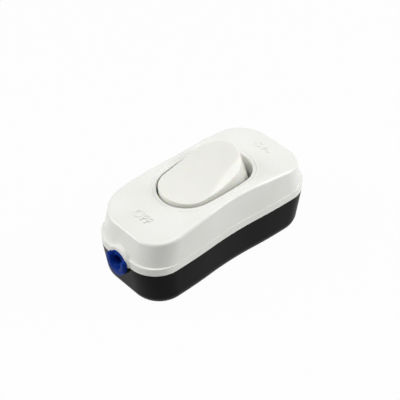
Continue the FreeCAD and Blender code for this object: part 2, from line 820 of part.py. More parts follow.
def build_moving_contact():
    body = new_body("moving_contact")
    sketch = new_sketch(body, "MovingHalf", "XZ_Plane")
    crown = ((s.contact_radius * s.contact_radius + s.contact_crown * s.contact_crown)
             / (s.contact_crown * 2))
    shank = s.rivet_radius - s.rivet_gap
    profile(sketch, [
        (0, blade_under - s.contact_height, crown),
        (s.contact_radius, blade_under - s.contact_height + s.contact_crown),
        (s.contact_radius, blade_under),
        (shank, blade_under),
        (shank, blade_top),
        (0, blade_top),
    ])
    revolve(body, sketch)
    place(body, x=-s.contact_place * cosine(s.blade_tilt), y=-s.pole_offset,
          z=fulcrum_height + s.contact_place * sine(s.blade_tilt),
          axis=FreeCAD.Vector(0, 1, 0), angle=s.blade_tilt)
    return body


def build_fixed_contact():
    body = new_body("fixed_contact")
    sketch = new_sketch(body, "FixedHalf", "XZ_Plane")
    shank = s.rivet_radius - s.rivet_gap
    profile(sketch, [
        (0, fixed_leg_top - s.strip_thickness),
        (shank, fixed_leg_top - s.strip_thickness),
        (shank, fixed_leg_top),
        (s.contact_radius, fixed_leg_top),
        (s.contact_radius, fixed_top),
        (0, fixed_top),
    ])
    revolve(body, sketch)
    place(body, x=-s.contact_place, y=-s.pole_offset)
    return body


# Brass strips
def build_line_strip():
    body = new_body("line_strip")
    sketch = new_sketch(body, "LineSide", "XZ_Plane")
    outer = -(s.pillar_place + s.pillar_length / 2)
    riser_inner = s.strip_thickness - s.riser_place
    profile(sketch, [
        (outer, s.strip_height),
        (riser_inner, s.strip_height),
        (riser_inner, fixed_leg_top - s.strip_thickness),
        (-s.fixed_leg_end, fixed_leg_top - s.strip_thickness),
        (-s.fixed_leg_end, fixed_leg_top),
        (-s.riser_place, fixed_leg_top),
        (-s.riser_place, strip_top),
        (outer, strip_top),
    ])
    pad(body, sketch, s.strip_width, both=True)
    hole = new_sketch(body, "RivetHole", "XY_Plane", fixed_leg_top)
    circle(hole, -s.contact_place, 0, s.rivet_radius)
    pocket(body, hole, s.strip_thickness)
    place(body, y=-s.pole_offset)
    return body


def build_load_strip():
    body = new_body("load_strip")
    sketch = new_sketch(body, "LoadSide", "XZ_Plane")
    outer = s.pillar_place + s.pillar_length / 2
    half = s.strip_thickness / 2
    profile(sketch, [
        (-half, s.strip_height),
        (outer, s.strip_height),
        (outer, strip_top),
        (half, strip_top),
        (half, fulcrum_height - s.knife_height),
        (0, fulcrum_height),
        (-half, fulcrum_height - s.knife_height),
    ])
    pad(body, sketch, s.strip_width, both=True)
    window = new_sketch(body, "StopWindow", "XY_Plane", strip_top)
    rectangle(window, s.stop_place - s.window_half_length, s.stop_place + s.window_half_length,
              -s.window_half_width, s.window_half_width)
    pocket(body, window, s.strip_thickness)
    place(body, y=-s.pole_offset)
    return body


def build_neutral_bar():
    body = new_body("neutral_bar")
    sketch = new_sketch(body, "BarPlan", "XY_Plane", s.strip_height)
    reach = s.pillar_place + s.pillar_length / 2
    rectangle(sketch, -reach, reach, -s.neutral_width / 2, s.neutral_width / 2)
    pad(body, sketch, s.strip_thickness)
    place(body, y=s.neutral_offset)
    return body


PILLARS = {
    "pillar_line": (-1, -s.pole_offset),
    "pillar_load": (1, -s.pole_offset),
    "pillar_neutral_near": (-1, s.neutral_offset),
    "pillar_neutral_far": (1, s.neutral_offset),
}


def build_pillar(label, side, y):
    body = new_body(label)
    half_x, half_y = s.pillar_length / 2, s.pillar_width / 2
    plan = new_sketch(body, f"{label}_plan", "XY_Plane")
    rectangle(plan, -half_x, half_x, -half_y, half_y)
    pad(body, plan, s.pillar_height)
    corner = math.hypot(half_x.value, half_y.value)
    round_edges(body, lambda edge: edge.BoundBox.ZLength > 1 and
                abs(edge.CenterOfMass.Length ** 2 - corner ** 2 - edge.CenterOfMass.z ** 2) < 0.01,
                s.pillar_edge_radius)
    wire = new_sketch(body, f"{label}_wire", "YZ_Plane", -s.pillar_length)
    circle(wire, 0, s.wire_hole_height, s.wire_hole_radius)
    pocket(body, wire, s.pillar_length * 2, flip=True)
    hole = new_sketch(body, f"{label}_screw_hole", "XY_Plane", s.pillar_height)
    circle(hole, 0, 0, s.terminal_screw_radius + s.terminal_screw_gap)
    pocket(body, hole, s.pillar_height - s.wire_hole_height)
    place(body, x=s.pillar_place * side, y=y, z=strip_top)
    return body


# Cord clamps and grommets
def build_clamp(end, side):
    body = new_body(f"clamp_{end}")
    sketch = new_sketch(body, f"ClampSide_{end}", "YZ_Plane")
    inner = s.cord_bore_radius
    outer = inner + s.clamp_thickness
    inner_foot = root(inner * inner - s.clamp_drop * s.clamp_drop)
    shoulder = s.clamp_thickness - s.clamp_drop
    outer_foot = root(outer * outer - shoulder * shoulder)
    profile(sketch, [
        (-s.clamp_half_span, 0),
        (-inner_foot, 0, -inner),
        (0, s.clamp_drop + inner, -inner),
        (inner_foot, 0),
        (s.clamp_half_span, 0),
        (s.clamp_half_span, s.clamp_thickness),
        (outer_foot, s.clamp_thickness, outer),
        (0, s.clamp_drop + outer, outer),
        (-outer_foot, s.clamp_thickness),
        (-s.clamp_half_span, s.clamp_thickness),
    ])
    pad(body, sketch, s.clamp_width, both=True)
    holes = new_sketch(body, f"ClampHoles_{end}", "XY_Plane", s.clamp_thickness)
    for y in SIDES.values():
        circle(holes, 0, s.clamp_screw_y * y, s.small_screw_radius + s.small_screw_gap)
    pocket(body, holes, s.clamp_thickness)
    place(body, x=s.clamp_place_x * side, z=clamp_seat)
    return body


def build_grommet(end, side):
    body = new_body(f"grommet_{end}")
    back = collar_back - s.grommet_gap
    flange = new_sketch(body, f"Flange_{end}", "YZ_Plane", back - s.flange_thickness)
    circle(flange, 0, s.parting_height, s.flange_radius)
    pad(body, flange, s.flange_thickness)
    barrel = new_sketch(body, f"Barrel_{end}", "YZ_Plane", back - s.flange_thickness)
    circle(barrel, 0, s.parting_height, s.grommet_radius)
    pad(body, barrel, s.collar_depth + s.grommet_gap + s.flange_thickness)
    nose = new_sketch(body, f"Nose_{end}", "YZ_Plane", collar_face)
    outer, inner, axis = s.grommet_radius, s.cord_bore_radius, s.parting_height
    tip_bend = (outer - inner) / 2
    tip = axis + s.nose_rise
    profile(nose, [
        (-outer, axis, outer),
        (0, axis - outer, outer),
        (outer, axis),
        (outer, tip - tip_bend, tip_bend),
        (outer - tip_bend, tip, tip_bend),
        (inner, tip - tip_bend),
        (inner, axis),
        (-inner, axis),
        (-inner, tip - tip_bend, tip_bend),
        (tip_bend - outer, tip, tip_bend),
        (-outer, tip - tip_bend),
    ])
    pad(body, nose, s.nose_length)
    front = collar_face + s.nose_length
    round_edges(body, lambda edge: on_front(edge, front), s.nose_edge_radius)
    bore = new_sketch(body, f"CordBore_{end}", "YZ_Plane", back - s.flange_thickness)
    circle(bore, 0, s.parting_height, s.cord_bore_radius)
    pocket(body, bore, s.half_length, flip=True)
    place(body, axis=FreeCAD.Vector(0, 0, 1), angle=0 if side > 0 else 180)
    return body


# Screws: one pattern body for each kind, and one node that groups its copies
def build_screw(name, radius, length, head_radius, head_height, slots):
    body = new_body(name)
    sketch = new_sketch(body, f"{name}_half", "XZ_Plane")
    profile(sketch, [
        (0, -length),
        (radius / 2, -length),
        (radius, radius - length),
        (radius, 0),
        (head_radius, 0),
        (head_radius, head_height * s.head_rim_share),
        (head_radius * s.head_crown_share, head_height),
        (0, head_height),
    ])
    revolve(body, sketch)
    for number in range(slots):
        slot = new_sketch(body, f"{name}_slot{number}", "XY_Plane", head_height)
        reach = head_radius * (2 if slots == 1 else s.cross_reach_share)
        across, along = (s.slot_width / 2, reach) if number else (reach, s.slot_width / 2)
        rectangle(slot, -across, across, -along, along)
        pocket(body, slot, s.slot_depth)
    return body


def screw_group(label, screw, places, flip=False):
    """One node of separate screws: copies of the pattern body at (x, y, z) places."""
    copies = []
    for number, (x, y, z) in enumerate(places, start=1):
        copy = doc.addObject("App::Link", f"{label}_{number}")
        copy.LinkedObject = screw
        turn = FreeCAD.Rotation(FreeCAD.Vector(1, 0, 0), 180 if flip else 0)
        copy.Placement = FreeCAD.Placement(FreeCAD.Vector(x.value, y.value, z.value), turn)
        for letter, size in (("x", x), ("y", y), ("z", z)):
            copy.setExpression(f"Placement.Base.{letter}", size.text)
        copies.append(copy)
    group = doc.addObject("Part::Compound", label)
    group.Label = label
    group.Links = copies
    doc.recompute()
    return group


def build_screws():
    housing = build_screw("housing_screw", s.screw_radius, s.screw_length, s.screw_head_radius,
                          s.screw_head_height, 2)
    clamp = build_screw("clamp_screw", s.small_screw_radius, s.small_screw_length,
                        s.small_head_radius, s.small_head_height, 1)
    terminal = build_screw("terminal_screw", s.terminal_screw_radius, s.terminal_screw_length,
                           s.terminal_head_radius, s.terminal_head_height, 1)
    return [
        screw_group("housing_screws", housing,
                    [(s.screw_place_x * x, s.screw_place_y * y, s.screw_recess_depth)
                     for x, y in corner_places()], flip=True),
        screw_group("clamp_screws", clamp,
                    [(s.clamp_place_x * x, s.clamp_screw_y * y, clamp_seat + s.clamp_thickness)
                     for x, y in corner_places()]),
        screw_group("terminal_screws", terminal,
                    [(s.pillar_place * side, y, pillar_top) for side, y in PILLARS.values()]),
    ]


parts = [
    build_top_cover(),
    build_bottom_cover(),
    build_rocker(),
    build_plunger(),
    build_spring(),
    build_blade(),
    build_moving_contact(),
    build_fixed_contact(),
    build_line_strip(),
    build_load_strip(),
    build_neutral_bar(),
]
parts += [build_pillar(label, side, y) for label, (side, y) in PILLARS.items()]
parts += [build_clamp(end, side) for end, side in ENDS.items()]
parts += [build_grommet(end, side) for end, side in ENDS.items()]
parts += build_screws()
doc.recompute()

for item in doc.Objects:
    if "Invalid" in item.State or "Error" in item.State:
        raise RuntimeError(f"{item.Name} failed: {item.State}")
for part in parts:
    if part.Shape.isNull() or not part.Shape.isValid():
        raise RuntimeError(f"{part.Label} has no valid shape")

os.makedirs("parts", exist_ok=True)
for part in parts:
    part.Shape.exportStep(f"parts/{part.Label}.step")
    box = part.Shape.BoundBox
    print(f"{part.Label}: {len(part.Shape.Solids)} solid, {part.Shape.Volume:.1f} mm3, "
          f"x {box.XMin:.2f} to {box.XMax:.2f}, y {box.YMin:.2f} to {box.YMax:.2f}, "
          f"z {box.ZMin:.2f} to {box.ZMax:.2f}")
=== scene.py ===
"""Looks of an inline cord switch: finishes, the last touches of form, studio and camera.

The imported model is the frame. X runs along the housing, Y across it and Z up from the flat
underside, in metres. Sizes that end in _mm are millimetres and are turned to metres by MM.
The rocker and both grommets get fuller copies that stand for them. The roof gets two raised
words, a bead round its opening and a skirt under it. Every other part keeps its CAD shape.
"""

import logging
import math
from collections.abc import Callable, Iterable, Mapping
from dataclasses import dataclass, field
from enum import Enum
from typing import Any

import bmesh
import bpy
from mathutils import Matrix, Vector


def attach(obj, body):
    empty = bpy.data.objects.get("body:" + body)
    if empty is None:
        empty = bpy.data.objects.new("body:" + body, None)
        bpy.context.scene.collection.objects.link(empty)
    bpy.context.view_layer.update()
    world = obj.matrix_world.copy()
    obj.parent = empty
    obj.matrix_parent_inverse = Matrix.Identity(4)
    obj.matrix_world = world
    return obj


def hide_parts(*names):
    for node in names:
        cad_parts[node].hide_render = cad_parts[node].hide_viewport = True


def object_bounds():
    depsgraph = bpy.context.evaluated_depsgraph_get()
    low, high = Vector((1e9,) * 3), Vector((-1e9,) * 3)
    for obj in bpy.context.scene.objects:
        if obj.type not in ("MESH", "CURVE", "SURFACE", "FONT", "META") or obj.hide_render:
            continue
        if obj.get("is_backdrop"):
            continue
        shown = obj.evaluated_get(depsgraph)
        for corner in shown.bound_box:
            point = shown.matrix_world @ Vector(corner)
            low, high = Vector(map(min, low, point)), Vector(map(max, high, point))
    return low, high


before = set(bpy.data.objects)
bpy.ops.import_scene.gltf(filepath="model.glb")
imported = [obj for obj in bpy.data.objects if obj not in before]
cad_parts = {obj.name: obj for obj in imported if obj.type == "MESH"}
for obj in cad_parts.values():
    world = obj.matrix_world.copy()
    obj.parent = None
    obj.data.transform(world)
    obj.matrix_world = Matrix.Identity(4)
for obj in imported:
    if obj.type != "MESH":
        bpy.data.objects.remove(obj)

LOG = logging.getLogger("inline_cord_switch")
MM = 0.001
PHOTO_PIXELS = 400
WHITE = "#FFFFFF"
# The sRGB curve: a straight foot up to its knee, and a power above it
SRGB_TOP = 255
SRGB_KNEE = 0.04045
SRGB_FOOT = 12.92
SRGB_SHIFT = 0.055
SRGB_POWER = 2.4
# Where a finish's slow change between both tones starts and ends, on the scale of the noise
DRIFT_START = 0.3
DRIFT_END = 0.7
GRAIN_DETAIL = 3.0
# White plastic lets red light travel further inside it than blue, which warms its shadows
WARM_DEPTH = (1.0, 0.75, 0.45)
# Faces of a reworked piece that meet at more than this angle show a crisp edge
CREASE_DEG = 32.0

# Points along X, Y and Z in millimetres, round a piece
Ring = list[tuple[float, float, float]]


def linear(shade: str) -> tuple[float, float, float, float]:
    """Turns an sRGB hex colour to linear.

    Args:
        shade: A colour such as "#F0F0EC".

    Returns:
        Red, green, blue and an alpha of 1.
    """
    red, green, blue = (
        part / SRGB_FOOT
        if part <= SRGB_KNEE
        else ((part + SRGB_SHIFT) / (1 + SRGB_SHIFT)) ** SRGB_POWER
        for part in (byte / SRGB_TOP for byte in bytes.fromhex(shade.removeprefix("#")))
    )
    return red, green, blue, 1.0


def add_node(
    tree: bpy.types.NodeTree,
    kind: str,
    settings: Mapping[str, Any] | None = None,
    inputs: Mapping[str | int, Any] | None = None,
) -> bpy.types.Node:
    """Adds a node with its settings, and fills or links its inputs.

    Args:
        tree: The node tree that gets the node.
        kind: The node's type name.
        settings: Properties of the node by name.
        inputs: Values, or sockets to link from, by input name or number.

    Returns:
        The new node.
    """
    node = tree.nodes.new(kind)
    for name, value in (settings or {}).items():
        setattr(node, name, value)
    for name, value in (inputs or {}).items():
        if isinstance(value, bpy.types.NodeSocket):
            tree.links.new(value, node.inputs[name])
        else:
            node.inputs[name].default_value = value
    return node


def ramp(node: bpy.types.Node, stops: Iterable[tuple[float, str]]) -> bpy.types.NodeSocket:
    """Sets a colour ramp's stops.

    Args:
        node: A ShaderNodeValToRGB node.
        stops: Two pairs of position and sRGB hex colour.

    Returns:
        The ramp's colour output.
    """
    for element, (place, shade) in zip(node.color_ramp.elements, stops):
        element.position = place
        element.color = linear(shade)
    return node.outputs["Color"]


class Course(Enum):
    """How a noise pattern is drawn out: the share of its scale along X, Y and Z."""

    EVEN = (1.0, 1.0, 1.0)
    ALONG_X = (0.04, 1.0, 1.0)
    ALONG_Z = (1.0, 1.0, 0.04)


@dataclass(frozen=True)
class Finish:
    """A finish: what the piece is made of and how its surface was made.

    Attributes:
        name: The material's common name and how it was made.
        slot: The record's material slot. Not used.
        light: Its lighter tone, sRGB hex.
        dark: Its darker tone, sRGB hex.
        drift_mm: Size of the slow change between both tones.
        roughness: Lowest and highest roughness.
        grain_mm: Size of the surface's grain.
        grain_rise_mm: Height of the grain.
        metallic: 1 for a metal, 0 for a plastic.
        ior: Refractive index. A metal keeps the default.
        coat: Weight of the glossy skin that a polished mould leaves.
        coat_roughness: Roughness of that skin.
        specular: Specular level, 0.5 for a plain dielectric.
        milkiness: Share of the light that travels a little way inside the material.
        depth_mm: How far its red light travels there.
        course: How the grain runs.
    """

    name: str
    slot: str
    light: str
    dark: str
    drift_mm: float
    roughness: tuple[float, float]
    grain_mm: float
    grain_rise_mm: float
    metallic: float = 0.0
    ior: float = 1.5
    coat: float = 0.0
    coat_roughness: float = 0.1
    specular: float = 0.5
    milkiness: float = 0.0
    depth_mm: float = 1.0
    course: Course = Course.EVEN

    def make(self) -> bpy.types.Material:
        """Builds the material.

        Returns:
            The material, named after the finish.
        """
        material = bpy.data.materials.new(self.name)
        material.use_nodes = True
        tree = material.node_tree
        tree.nodes.clear()
        place = add_node(tree, "ShaderNodeTexCoord").outputs["Object"]
        drawn = add_node(
            tree, "ShaderNodeMapping", inputs={"Vector": place, "Scale": self.course.value}
        ).outputs["Vector"]
        drift = add_node(
            tree, "ShaderNodeTexNoise", inputs={"Vector": place, "Scale": 1 / (self.drift_mm * MM)}
        ).outputs["Fac"]
        grain = add_node(
            tree,
            "ShaderNodeTexNoise",
            inputs={
                "Vector": drawn,
                "Scale": 1 / (self.grain_mm * MM),
                "Detail": GRAIN_DETAIL,
            },
        ).outputs["Fac"]
        tones = add_node(tree, "ShaderNodeValToRGB", inputs={"Fac": drift})
        gloss = add_node(
            tree,
            "ShaderNodeMapRange",
            inputs={"Value": grain, "To Min": self.roughness[0], "To Max": self.roughness[1]},
        )
        bump = add_node(
            tree,
            "ShaderNodeBump",
            inputs={"Height": grain, "Distance": self.grain_rise_mm * MM, "Strength": 1.0},
        )
        shader = add_node(
            tree,
            "ShaderNodeBsdfPrincipled",
            inputs={
                "Base Color": ramp(tones, ((DRIFT_START, self.dark), (DRIFT_END, self.light))),
                "Roughness": gloss.outputs["Result"],
                "Normal": bump.outputs["Normal"],
                "Metallic": self.metallic,
                "IOR": self.ior,
                "Specular IOR Level": self.specular,
                "Coat Weight": self.coat,
                "Coat Roughness": self.coat_roughness,
                "Subsurface Weight": self.milkiness,
                "Subsurface Radius": WARM_DEPTH,
                "Subsurface Scale": self.depth_mm * MM,
            },
        )
        add_node(tree, "ShaderNodeOutputMaterial", inputs={"Surface": shader.outputs["BSDF"]})
        return material


# White ABS from a polished mould: clean, faintly warm, with a soft gloss on every edge. Its grain
# is the slow ripple that such a mould leaves
COVER_ABS = Finish(
    name="white_abs_moulded",
    slot="white_cover",
    light="#F1F1ED",
    dark="#EDEDE8",
    drift_mm=14.0,
    roughness=(0.24, 0.29),
    grain_mm=0.9,
    grain_rise_mm=0.0012,
    ior=1.53,
    coat=0.15,
)
# White urea for the rocker: a shade warmer and glossier than the cover, from handling
ROCKER_UREA = Finish(
    name="white_urea_pressed",
    slot="white_rocker",
    light="#EEEEE8",
    dark="#EBEBE4",
    drift_mm=11.0,
    roughness=(0.06, 0.09),
    grain_mm=1.1,
    grain_rise_mm=0.0012,
    ior=1.54,
    coat=0.1,
    milkiness=0.4,
    depth_mm=1.5,
)
# Black ABS from a finely sparked mould: a deep satin that greys where it faces the light. The
# sparked grain is drawn coarser than it is, so that it shows
BASE_ABS = Finish(
    name="black_abs_sparked",
    slot="black_base",
    light="#0E0E0E",
    dark="#0A0A0A",
    drift_mm=9.0,
    roughness=(0.34, 0.42),
    grain_mm=0.35,
    grain_rise_mm=0.006,
    ior=1.53,
    specular=0.045,
)
# Blue soft PVC, moulded: a saturated blue with a slightly waxy gloss
GROMMET_PVC = Finish(
    name="blue_pvc_moulded",
    slot="blue_grommet",
    light="#0A3590",
    dark="#082A7A",
    drift_mm=3.0,
    roughness=(0.3, 0.4),
    grain_mm=0.5,
    grain_rise_mm=0.004,
    ior=1.53,
    specular=0.05,
)
# Natural acetal, moulded: milky and slippery
PLUNGER_ACETAL = Finish(
    name="natural_acetal_moulded",
    slot="plunger_plastic",
    light="#E4E3DA",
    dark="#DAD9CE",
    drift_mm=3.0,
    roughness=(0.35, 0.45),
    grain_mm=0.4,
    grain_rise_mm=0.004,
    ior=1.48,
)
# Black nylon, moulded: a dull, slightly grainy black
CLAMP_NYLON = Finish(
    name="black_nylon_moulded",
    slot="clamp_plastic",
    light="#2A2A2C",
    dark="#202022",
    drift_mm=4.0,
    roughness=(0.45, 0.6),
    grain_mm=0.3,
    grain_rise_mm=0.012,
    ior=1.53,
)
# Brass strip, rolled and stamped: fine lines along the strip, drawn coarser than they are
STRIP_BRASS = Finish(
    name="brass_strip_rolled",
    slot="brass_strip",
    light="#D9B566",
    dark="#C9A250",
    drift_mm=5.0,
    roughness=(0.24, 0.36),
    grain_mm=0.15,
    grain_rise_mm=0.004,
    metallic=1.0,
    course=Course.ALONG_X,
)
# Brass bar, sawn and tumbled: soft edges and a dull sheen
PILLAR_BRASS = Finish(
    name="brass_bar_tumbled",
    slot="brass_pillar",
    light="#D6B062",
    dark="#C0994A",
    drift_mm=3.0,
    roughness=(0.3, 0.44),
    grain_mm=0.3,
    grain_rise_mm=0.008,
    metallic=1.0,
)
# Copper strip, rolled: a warm red with lines along the strip, drawn coarser than they are
BLADE_COPPER = Finish(
    name="copper_strip_rolled",
    slot="copper_strip",
    light="#D68F6C",
    dark="#C47C58",
    drift_mm=4.0,
    roughness=(0.22, 0.34),
    grain_mm=0.15,
    grain_rise_mm=0.004,
    metallic=1.0,
    course=Course.ALONG_X,
)
# Silver rivet head, coined: pale and satin
CONTACT_SILVER = Finish(
    name="silver_contact_coined",
    slot="silver_contact",
    light="#E2E0DA",
    dark="#CFCDC6",
    drift_mm=1.5,
    roughness=(0.25, 0.38),
    grain_mm=0.2,
    grain_rise_mm=0.004,
    metallic=1.0,
)
# Spring steel wire, drawn: bright and even. The die's lines are too fine to show, so a faint
# coarser grain stands for them
SPRING_STEEL = Finish(
    name="spring_steel_drawn",
    slot="spring_steel",
    light="#B9BBBE",
    dark="#9DA0A4",
    drift_mm=1.5,
    roughness=(0.2, 0.3),
    grain_mm=0.2,
    grain_rise_mm=0.003,
    metallic=1.0,
)
# Steel screw, zinc plated: a cool grey with a faint cloudy mottle, drawn out along the shank
SCREW_ZINC = Finish(
    name="zinc_plated_steel_turned",
    slot="steel_screw",
    light="#C3C7CC",
    dark="#A4A8AE",
    drift_mm=1.6,
    roughness=(0.26, 0.42),
    grain_mm=0.25,
    grain_rise_mm=0.006,
    metallic=1.0,
    course=Course.ALONG_Z,
)


def add_object(name: str, data: bpy.types.ID) -> bpy.types.Object:
    """Adds an object to the scene.

    Args:
        name: Its name.
        data: Its mesh, text, lamp or lens.

    Returns:
        The object.
    """
    added = bpy.data.objects.new(name, data)
    bpy.context.scene.collection.objects.link(added)
    return added


def worked_out(source: bpy.types.Object) -> bpy.types.Mesh:
    """Turns an object, as its text or its modifiers make it, into a plain mesh.

    Args:
        source: The object, which stays as it is.

    Returns:
        The new mesh.
    """
    bpy.context.view_layer.update()
    graph = bpy.context.evaluated_depsgraph_get()
    return bpy.data.meshes.new_from_object(source.evaluated_get(graph))


def dress(names: Iterable[str], finish: Finish) -> None:
    """Gives CAD nodes their finish.

    Args:
        names: Node names.
        finish: The finish that they share.
    """
    material = finish.make()
    for name in names:
        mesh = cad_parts[name].data
        mesh.materials.clear()
        mesh.materials.append(material)
        LOG.info("%s: %s", name, finish.name)


@dataclass(frozen=True)
class Oval:
    """An outline of two end arcs joined by two flatter side arcs.

    Attributes:
        half_length_mm: Half its length, along X.
        half_width_mm: Half its width, along Y.
        end_radius_mm: Radius of its end arcs.
    """

    half_length_mm: float
    half_width_mm: float
    end_radius_mm: float

    def grown(self, sides_mm: float, ends_mm: float | None = None) -> "Oval":
        """Grows or shrinks the outline.

        Args:
            sides_mm: How far the sides move out.
            ends_mm: How far the ends move out, where that differs.

        Returns:
            The new outline.
        """
        ends_mm = sides_mm if ends_mm is None else ends_mm
        return Oval(
            self.half_length_mm + ends_mm,
            self.half_width_mm + sides_mm,
            self.end_radius_mm + sides_mm,
        )

    def points(self, steps: int = 36) -> list[tuple[float, float]]:
        """Lists points round the outline.

        Args:
            steps: How many steps each of the eight arc pieces takes.

        Returns:
            Places along X and Y in millimetres, counterclockwise from +X.
        """
        centre = self.half_length_mm - self.end_radius_mm
        width, end = self.half_width_mm, self.end_radius_mm
        side = (centre**2 + width**2 - end**2) / (2 * (width - end))
        joint = math.atan2(centre, side - width)
        turns = [(math.pi / 2 - joint) * step / steps for step in range(steps)]
        quarter = [(centre + end * math.cos(turn), end * math.sin(turn)) for turn in turns]
        turns = [joint * (1 - step / steps) for step in range(steps)]
        quarter += [
            (side * math.sin(turn), side * math.cos(turn) - side + width) for turn in turns
        ]
        half = quarter + [(0.0, width)] + [(-x, y) for x, y in quarter[:0:-1]]
        return half + [(-x, -y) for x, y in half]


def rounding(radius: float, steps: int) -> list[tuple[float, float]]:
    """Runs over a rounded edge, from the wall to the face.

    Args:
        radius: Radius of the rounding.
        steps: How many steps it takes.

    Returns:
        For each point, how far it lies below the face and how far inside the wall.
    """
    turns = [math.pi / 2 * step / steps for step in range(steps + 1)]
    return [(radius * (1 - math.sin(turn)), radius * (1 - math.cos(turn))) for turn in turns]


def skin(name: str, rings: list[Ring], looped: bool) -> bpy.types.Object:
    """Builds a smooth closed mesh over a row of rings.

    Args:
        name: The piece's name.
        rings: Rings of as many points each.
        looped: Whether the last ring joins the first; if not, both are filled.

    Returns:
        The mesh piece.
    """
    count = len(rings[0])
    points = [tuple(part * MM for part in point) for ring in rings for point in ring]
    starts = [row * count for row in range(len(rings))]
    faces = []
    for start, after in zip(starts, starts[1:] + starts[:1] if looped else starts[1:]):
        for spot in range(count):
            turn = (spot + 1) % count
            faces.append((start + spot, start + turn, after + turn, after + spot))
    if not looped:
        faces += [tuple(range(count))[::-1], tuple(range(starts[-1], len(points)))]
    mesh = bpy.data.meshes.new(name)
    mesh.from_pydata(points, [], faces)
    mesh.validate()
    sides = bmesh.new()
    sides.from_mesh(mesh)
    bmesh.ops.recalc_face_normals(sides, faces=sides.faces)
    sides.to_mesh(mesh)
    sides.free()
    mesh.shade_smooth()
    return add_object(name, mesh)


def finish_piece(piece: bpy.types.Object, body: str, finish: Finish) -> None:
    """Gives a new piece its finish and its body.

    Args:
        piece: The piece, in place.
        body: The CAD body that it rides on.
        finish: Its finish, which a CAD node already has.
    """
    piece.data.materials.clear()
    piece.data.materials.append(bpy.data.materials[finish.name])
    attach(piece, body)
    LOG.info("%s: new piece on %s, %s", piece.name, body, finish.name)


class Work(Enum):
    """What a form does to the piece: it is cut out of it or joined to it."""

    CUT = "DIFFERENCE"
    JOIN = "UNION"


def reworked(
    node: str, name: str, steps: list[tuple[Work, bpy.types.Object]]
) -> bpy.types.Object:
    """Copies a CAD node's mesh, and joins forms to the copy or cuts them out of it.

    Args:
        node: The CAD node, which stays as it is.
        name: Name of the new piece.
        steps: What is done, and with which form. The forms are used up.

    Returns:
        The new mesh piece.
    """
    piece = add_object(name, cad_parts[node].data.copy())
    for work, form in steps:
        step = piece.modifiers.new(form.name, "BOOLEAN")
        step.operation = work.value
        step.solver = "EXACT"
        step.object = form
    mesh = worked_out(piece)
    piece.modifiers.clear()
    piece.data = mesh
    for _, form in steps:
        bpy.data.objects.remove(form)
    mesh.shade_smooth()
    mesh.set_sharp_from_angle(angle=math.radians(CREASE_DEG))
    return piece


@dataclass
class RaisedWord:
    """A word that stands a little proud of the roof, in the cover's own plastic.

    Attributes:
        name: The piece's name.
        letters: The word.
        centre_x_mm: Middle of the word along the housing.
        cap_height_mm: Height of its capitals, along X.
        rise_mm: How far it stands proud.
        sink_mm: How far it reaches into the roof, so that no gap shows.
        edge_mm: Size of the bevel round each letter.
        edge_steps: Steps of that bevel.
        capital_share: Height of the font's capitals, as a share of its size.
    """

    name: str
    letters: str
    centre_x_mm: float
    cap_height_mm: float = 3.3
    rise_mm: float = 0.24
    sink_mm: float = 0.1
    edge_mm: float = 0.07
    edge_steps: int = 2
    capital_share: float = 0.73

    def build(self, roof: Callable[[float], float]) -> bpy.types.Object:
        """Builds the word and lays it on the crowned roof.

        Args:
            roof: Gives the height of the roof at a place along X, both in millimetres.

        Returns:
            The mesh piece.
        """
        curve = bpy.data.curves.new(self.name, "FONT")
        curve.body = self.letters
        curve.align_x = "CENTER"
        curve.align_y = "CENTER"
        curve.size = self.cap_height_mm * MM / self.capital_share
        curve.extrude = (self.rise_mm + self.sink_mm) / 2 * MM
        curve.bevel_depth = self.edge_mm * MM
        curve.bevel_resolution = self.edge_steps
        curve.offset = -self.edge_mm * MM / 2
        text = add_object(self.name + "_text", curve)
        mesh = worked_out(text)
        bpy.data.objects.remove(text)
        lift = (self.rise_mm - self.sink_mm) / 2 * MM
        for vertex in mesh.vertices:
            across, along, up = vertex.co
            x = self.centre_x_mm * MM + along
            vertex.co = (x, -across, roof(x / MM) * MM + lift + up)
        mesh.update()
        return add_object(self.name, mesh)


